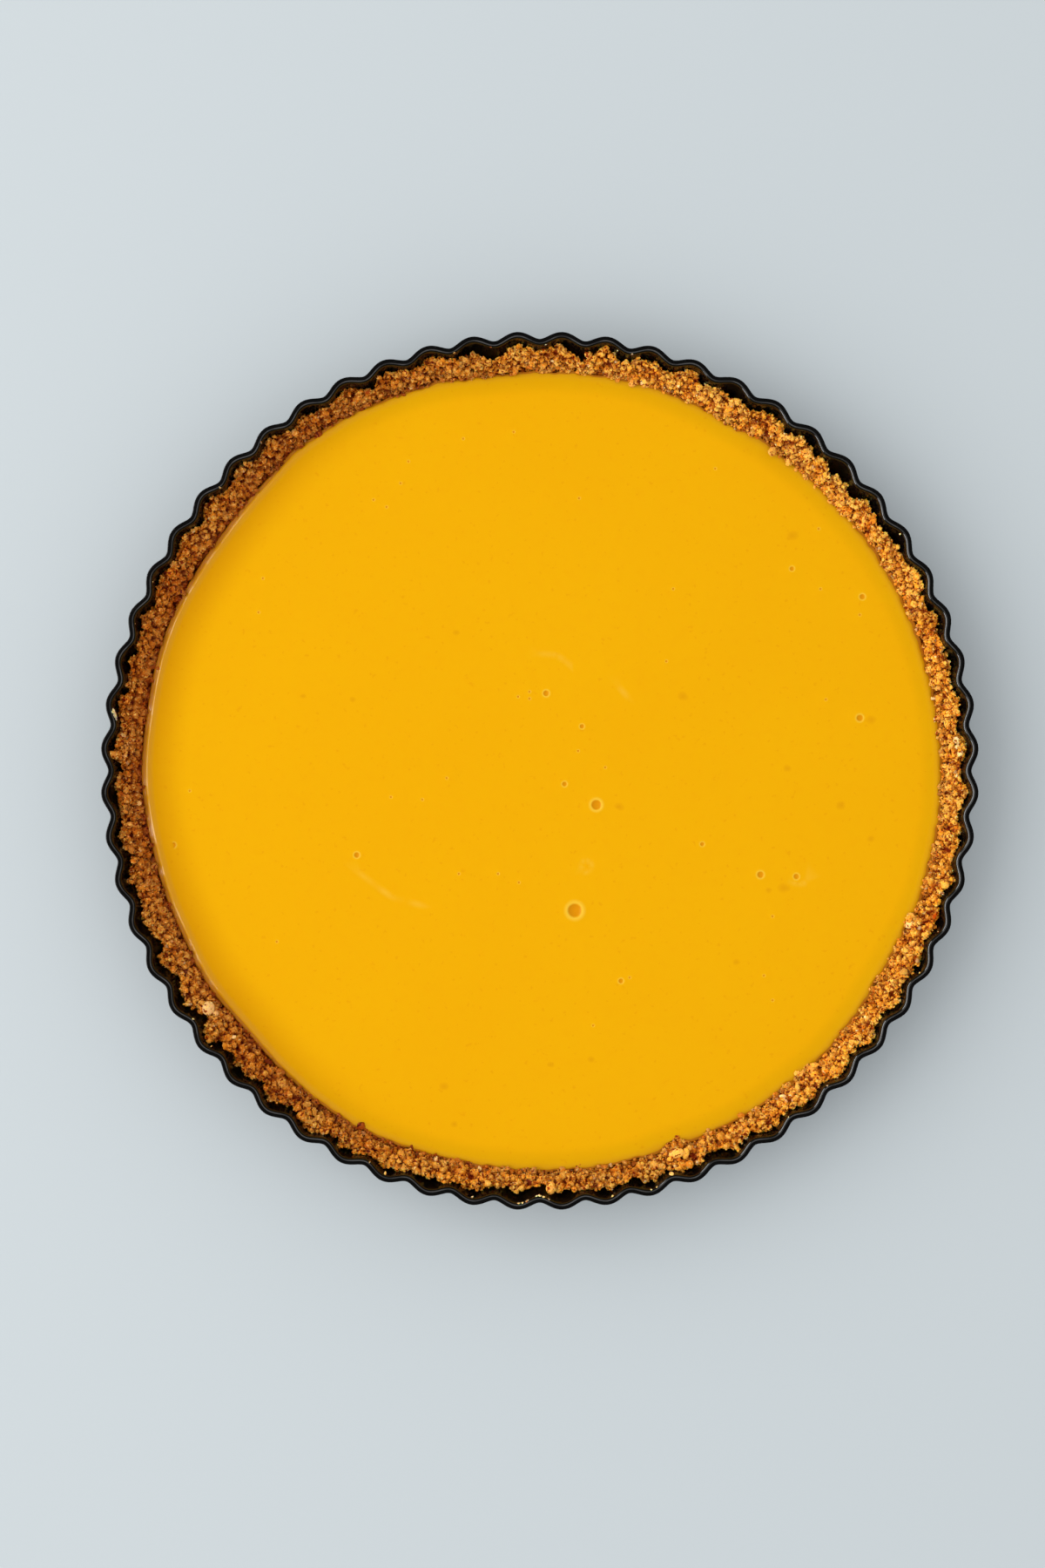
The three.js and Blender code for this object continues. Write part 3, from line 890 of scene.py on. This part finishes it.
# ---- Filling
# Set passion fruit custard, level with a satin skin. It climbed the crust a little as it set, which left a
# rounded lip round its edge, and burst bubbles left small pits. Fine orange flecks are stirred in.
LIP_COLUMNS = 1200
LIP_REACH = 6.2 * MM  # from the filling's edge to its level part
LIP_EVEN = 25  # columns over which the lip evens out the edge's raggedness
LIP_FOLLOWS = 3  # mm from the edge over which it still follows it
LIP = [  # mm in from the crust, mm above the level: the lip's section
    (-0.35, -0.30),
    (0.0, 0.03),
    (0.45, 0.10),
    (0.8, 0.22),
    (1.0, 0.33),
    (1.25, 0.475),
    (1.5, 0.61),
    (1.75, 0.69),
    (2.0, 0.69),
    (2.5, 0.53),
    (3.1, 0.31),
    (4.0, 0.12),
    (5.2, 0.02),
]
BUBBLES = [  # mm to the right of the middle, mm behind it, mm across
    (11.3, -44.8, 4.3),
    (18.2, -10.9, 3.1),
    (70.9, -33.3, 2.0),
    (102.8, 17.0, 2.0),
    (2.1, 24.9, 1.8),
    (103.6, 55.9, 1.7),
    (-58.7, -27.0, 1.7),
    (-117.6, -23.8, 1.7),
    (82.4, -33.9, 1.7),
    (26.1, -67.4, 1.5),
    (8.0, -4.2, 1.5),
    (13.6, 14.3, 1.4),
    (81.0, 64.9, 1.4),
    (52.2, -23.5, 1.3),
]
PINHOLES = [
    (-24.5, 106.6), (-47.7, -8.4), (-29.8, -2.3), (12.4, 6.4), (-53.3, 87.0), (-49.1, 84.7), (-44.6, 92.3),
    (12.7, 87.5), (56.4, 97.0), (89.6, 77.7), (90.2, 58.4), (102.8, 50.1), (42.9, 58.4), (-88.8, 61.8),
    (-90.2, 50.9), (40.7, 35.2), (-6.9, 23.8), (-3.2, 25.4), (-3.2, 23.2), (-112.3, -6.4), (72.0, -65.7),
    (74.8, -46.7), (-51.6, 116.1), (-46.3, 117.2), (91.9, 22.9), (-37.6, -9.2), (21.1, 1.1), (-8.3, 108.8),
    (-42.1, 99.3), (-6.6, -35.8), (-13.3, -33.0), (-25.9, -33.0), (-84.3, -54.8), (28.9, -66.3),
    (74.8, -73.6), (17.2, -81.7),
]  # fmt: skip
LIP_SIDE = math.radians(178)  # where the lip stands highest
SIDE_DROP = 7 * MM  # from the level to halfway down the filling's hidden side
PINHOLE_WIDTH = 0.75
SKIN_SPACING = 5.0  # mm between points of the plain skin
SKIN_CLEAR = 2.4  # mm that they keep from the marks
BUBBLE_SECTION = [  # share of the radius, height against the radius, how orange, how pale
    (0.0, -0.34, 1.0, 0.0),
    (0.55, -0.30, 1.0, 0.0),
    (0.85, -0.20, 0.95, 0.0),
    (1.0, -0.05, 0.35, 0.5),
    (1.15, 0.06, 0.0, 1.0),
    (1.35, 0.05, 0.0, 0.7),
    (1.75, 0.0, 0.0, 0.0),
]
SMUDGE_RINGS = (0, 0.35, 0.7, 1.0, 1.3)
SMUDGES = [  # mm to the right, mm behind, mm across: skin stained by a fleck just under it
    (81.0, 75.5, 3.6),
    (25.6, -11.5, 2.8),
    (78.5, -37.5, 3.4),
    (73.4, -38.3, 2.0),
    (79.6, 0.8, 2.6),
    (96.6, -10.9, 3.0),
    (106.4, 16.5, 3.0),
    (106.4, -21.8, 2.2),
    (46.0, 24.0, 3.2),
    (-26.7, 44.5, 2.2),
    (-75.9, 24.0, 1.8),
    (-60.0, 22.9, 1.8),
    (63.1, -61.3, 2.0),
    (-30.6, -101.3, 2.8),
    (16.6, -92.6, 2.2),
    (3.5, -94.3, 2.0),
    (-27.3, -113.3, 2.0),
]
STREAK_SIDES = (-1.4, -0.6, 0, 0.6, 1.4)  # mm across a streak
CUSTARD = (0.645, 0.297, 0.0002, 1)
CUSTARD_CLOUDED = (0.658, 0.32, 0.0003, 1)
CUSTARD_MOTTLED = (0.64, 0.288, 0.0004, 1)
FLECK = (0.59, 0.228, 0.0006, 1)
MARKS = [  # what marks the skin, how strongly, and in which colour
    ("smudge", 0.42, (0.49, 0.171, 0.0015, 1)),
    ("streak", 0.35, (0.68, 0.394, 0.036, 1)),
    ("ring", 0.6, (0.71, 0.463, 0.045, 1)),
    # darker orange in bubble pits: the custard's colour, and partly painted shade
    ("pit", 0.68, (0.553, 0.183, 0.002, 1)),
]
THIN_CUSTARD = (0.446, 0.192, 0.003, 1)
CUSTARD_FILM = (0.357, 0.12, 0.005, 1)
FAR_SIDE_TINT = (0.87, 0.9, 0.7)
WINDOW_SIDE_SHADOW_TINT = (0.81, 0.74, 0.55)
PALE_STREAKS = [  # mm: where the skin wrinkled a little, each a line of places
    [(-0.7, 37.7), (5.7, 37.2), (10.8, 33.2)],
    [(25.2, 27.2), (29.2, 22.6)],
    [(-58.0, -32.7), (-47.4, -40.6), (-36.2, -43.6)],
    [(13.2, -31.6), (13.9, -29.0), (16.2, -28.9), (16.9, -31.2), (15.0, -32.6), (13.2, -31.6)],
    [(80.0, -35.5), (84.5, -36.5), (86.5, -34.0)],
]


class Surface:
    """The filling's top: places across, with their height above the level and what marks them."""

    def __init__(self):
        self.places, self.heights, self.marks = [], [], []

    def add(self, x, y, height=0.0, pit=0.0, ring=0.0, smudge=0.0, streak=0.0):
        self.places.append((x, y))
        self.heights.append(height)
        self.marks.append((pit, ring, smudge, streak))

    def bubble(self, x, y, width):
        radius = width / 2
        for share, height, pit, ring in BUBBLE_SECTION:
            count = 1 if share == 0 else 14 + round(radius * 6)
            for turn in np.arange(count) * (2 * math.pi / count) + share:
                across, along = share * radius * math.cos(turn), share * radius * math.sin(turn)
                self.add(x + across, y + along, height * radius, pit, ring)

    def smudge(self, x, y, width):
        for share in SMUDGE_RINGS:
            count = 1 if share == 0 else 12
            for turn in np.arange(count) * (2 * math.pi / count):
                uneven = noise.noise((x + math.cos(turn), y + math.sin(turn), 3.5))
                reach = share * width / 2 * (1 + 0.35 * uneven)
                strength = max(0, 1 - share / SMUDGE_RINGS[-1]) ** 0.7
                self.add(x + reach * math.cos(turn), y + reach * math.sin(turn) * 0.8, smudge=strength)

    def streak(self, line):
        for (x0, y0), (x1, y1) in zip(line, line[1:]):
            length = math.hypot(x1 - x0, y1 - y0)
            steps = max(2, round(length / 0.9))
            for i in range(steps):
                along = i / steps
                strength = 0.6 + 0.8 * noise.noise((x0 + along * 5, y0, 7.5))
                for side in STREAK_SIDES:
                    x = x0 + (x1 - x0) * along - (y1 - y0) / length * side
                    y = y0 + (y1 - y0) * along + (x1 - x0) / length * side
                    self.add(x, y, streak=strength * (1 - abs(side) / STREAK_SIDES[-1]))


def custard():
    """Satin yellow custard, more orange in the pits, browner where thin over the crust, with painted shadow
    at one edge.
    """
    material, graph = material_graph("passion_fruit_custard")
    inwards = graph.attribute("inwards")  # mm from the filling's edge
    cloud = graph.noise(46 * MM, 2)
    mottle = graph.noise(3.4 * MM, 3)
    flecks = graph.ramp(graph.noise(1.5 * MM, 1.5), 0.66, 0.76)
    colour = graph.mix(cloud, CUSTARD, CUSTARD_CLOUDED)
    colour = graph.mix(graph.ramp(mottle, 0.45, 0.8) * 0.35, colour, CUSTARD_MOTTLED)
    colour = graph.mix(flecks * 0.45, colour, FLECK)
    for name, strength, stain in MARKS:
        colour = graph.mix(graph.attribute(name) * strength, colour, stain)
    across = graph.split(graph.place())[0]
    window_side = graph.ramp(across, -30 * MM, -105 * MM)
    # Darker and more olive towards the edge on the far side; on the window side, painted shadow of the crust
    # and the tin's wall.
    colour = graph.tint(graph.ramp(inwards, 8.0, 2.5) * (1 - window_side), colour, FAR_SIDE_TINT)
    colour = graph.tint(graph.ramp(inwards, 15.0, 2.5) * window_side, colour, WINDOW_SIDE_SHADOW_TINT)
    colour = graph.mix(graph.ramp(inwards, 3.4, 1.3) * 0.4, colour, THIN_CUSTARD)
    colour = graph.mix(graph.ramp(inwards, 1.2, 0.75), colour, CUSTARD_FILM)
    finish = {
        "Base Color": colour,
        "Roughness": 0.27,
        "Specular IOR Level": 0.03,
        "Coat Weight": graph.ramp(inwards, 3.6, 2.2) * (0.12 + window_side * 0.75),
        "Coat Roughness": 0.2,
        "Subsurface Weight": 0.15,
        "Subsurface Radius": (1.0, 0.5, 0.1),
        "Subsurface Scale": 2 * MM,
        "Normal": graph.relief(graph.noise(9 * MM, 2), 0.2, 0.3 * MM),
    }
    finish_material(graph, finish)
    return material


surface = Surface()
for x, y, width in BUBBLES:
    surface.bubble(x, y, width)
for x, y in PINHOLES:
    surface.bubble(x, y, PINHOLE_WIDTH)
for x, y, width in SMUDGES:
    surface.smudge(x, y, width)
for line in PALE_STREAKS:
    surface.streak(line)
marked = np.array(surface.places)
skin_places = np.arange(-124, 124, SKIN_SPACING)
for x in skin_places:
    for y in skin_places:
        if np.hypot(marked[:, 0] - x, marked[:, 1] - y).min() > SKIN_CLEAR:
            surface.add(x + 0.3 * math.sin(y), y)

angles = np.arange(LIP_COLUMNS) * (2 * math.pi / LIP_COLUMNS)
edge = filling_edge(angles)
even_edge = np.convolve(np.tile(edge, 3), np.ones(LIP_EVEN) / LIP_EVEN, "same")[LIP_COLUMNS:-LIP_COLUMNS]
lip_side = fade(np.cos(angles - LIP_SIDE), 0.1, 0.85)
far_side = fade(-np.cos(angles - LIP_SIDE), 0.5, 1.0)
lip_height = 0.3 + 0.7 * lip_side + 0.3 * far_side + 0.1 * round_noise(angles, 14 * MM, 51)
lip_width = 0.45 + 0.55 * lip_side + 0.35 * far_side
rings = [(even_edge - LIP_REACH, FILLING_LEVEL, LIP_REACH / MM)]
for reach, height in reversed(LIP):
    spread = reach / LIP[-1][0]
    narrow = reach * MM * (lip_width * (1 - spread) + spread)
    even = min(1, max(0, reach) / LIP_FOLLOWS)
    radius = even_edge * even + edge * (1 - even) - narrow
    rings.append((radius, FILLING_LEVEL + height * lip_height * MM, reach))
for drop, narrow in ((SIDE_DROP, 0.5), (FILLING_LEVEL - CRUST_BASE - FILLING_GAP, 1.0)):
    rings.append((edge - FILLING_TAPER * narrow, FILLING_LEVEL - drop, 0))
around = np.concatenate([polar(radius, angles, height) for radius, height, _ in rings])
underside = [[0, 0, CRUST_BASE + FILLING_GAP]]
inner = np.column_stack([np.array(surface.places) * MM, FILLING_LEVEL + np.array(surface.heights) * MM])
turns = np.arctan2(inner[:, 1], inner[:, 0]) % (2 * math.pi)
gap = np.interp(turns, angles, even_edge, period=2 * math.pi) - np.hypot(inner[:, 0], inner[:, 1])
within = gap > LIP_REACH + 0.4 * MM
inner, gap = inner[within], gap[within]
points = np.concatenate([around, underside, inner])
foot = len(rings) * LIP_COLUMNS
sides = [face for face in skin(len(rings), LIP_COLUMNS) if foot not in face]
side_faces = [tuple(foot if i == foot + 1 else i for i in face) for face in sides]
flat = [Vector(place) for place in np.concatenate([around[:LIP_COLUMNS, :2], inner[:, :2]]).tolist()]
whose = list(range(LIP_COLUMNS)) + list(range(foot + 1, foot + 1 + len(inner)))
border = [(i, (i + 1) % LIP_COLUMNS) for i in range(LIP_COLUMNS)]
only_inside, nearest_apart = 1, 1e-7
found = geometry.delaunay_2d_cdt(flat, border, [], only_inside, nearest_apart)
triangles, came_from = found[2], found[3]
top_faces = [tuple(whose[came_from[i][0]] for i in face) for face in triangles]
marks = np.concatenate([np.zeros((foot + 1, 4)), np.array(surface.marks)[within]])
filling = mesh_piece(
    "set_filling",
    points,
    side_faces + top_faces,
    {
        "inwards": np.concatenate([np.repeat([reach for _, _, reach in rings], LIP_COLUMNS), [0], gap / MM]),
        "pit": marks[:, 0],
        "ring": marks[:, 1],
        "smudge": marks[:, 2],
        "streak": marks[:, 3],
    },
    custard(),
)
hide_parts("filling")
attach(filling, "root")

# ---- Floor
# A plain matte worktop under the tin, in the pale colour of the photo's. It reaches far past the picture,
# so that views from low down don't see its edge close behind the tin.
FLOOR_REACH = 7.0
WORKTOP = (0.433, 0.464, 0.474, 1)
corners = [(-1, -1), (1, -1), (1, 1), (-1, 1)]
floor_mesh = bpy.data.meshes.new("floor")
floor_mesh.from_pydata([(x * FLOOR_REACH, y * FLOOR_REACH, 0) for x, y in corners], [], [(0, 1, 2, 3)])
floor = add_object("floor", floor_mesh)
floor_material, graph = material_graph("pale_worktop")
finish_material(graph, {"Base Color": WORKTOP, "Roughness": 0.6, "Specular IOR Level": 0.2})
floor_mesh.materials.append(floor_material)

# ---- Light
# A large soft window light from the left, a narrow bright strip low in it that only glossy surfaces mirror,
# and the even light of the room, which is dark in reflections.
KEY_POWER = 20.4
KEY_SIZE = 1.9
KEY_DISTANCE = 1.6
KEY_AZIMUTH = math.radians(176)
KEY_ELEVATION = math.radians(40)
PANE_POWER = 41
PANE_SIZE = (2.2, 0.38)
PANE_ELEVATION = math.radians(30)
ROOM_COLOUR = (0.95, 0.975, 1, 1)
ROOM_BRIGHTNESS = 1.155
ROOM_IN_REFLECTIONS = 0.06


def window(name, power, width, height, azimuth, elevation):
    """An area light KEY_DISTANCE away that faces the tart."""
    light = add_object(name, bpy.data.lights.new(name, "AREA"))
    light.data.energy = power
    light.data.shape = "RECTANGLE"
    light.data.size = width
    light.data.size_y = height
    flat = math.cos(elevation)
    towards = Vector((flat * math.cos(azimuth), flat * math.sin(azimuth), math.sin(elevation)))
    light.location = towards * KEY_DISTANCE
    light.rotation_euler = light.location.to_track_quat("Z", "Y").to_euler()
    return light


key = window("window", KEY_POWER, KEY_SIZE, KEY_SIZE, KEY_AZIMUTH, KEY_ELEVATION)
key.visible_glossy = False
pane = window("bright_pane", PANE_POWER, *PANE_SIZE, KEY_AZIMUTH, PANE_ELEVATION)
pane.visible_diffuse = False

scene.world = bpy.data.worlds.new("room")
scene.world.use_nodes = True
room = Graph(scene.world.node_tree)
mirrored = room.value("ShaderNodeLightPath", output="Is Glossy Ray")
brightness = ROOM_BRIGHTNESS - mirrored * (ROOM_BRIGHTNESS - ROOM_IN_REFLECTIONS)
background = room.node("ShaderNodeBackground", inputs={"Color": ROOM_COLOUR, "Strength": brightness})
world_output = room.node("ShaderNodeOutputWorld")
room.tree.links.new(background.outputs[0], world_output.inputs["Surface"])
scene.view_settings.view_transform = "Standard"
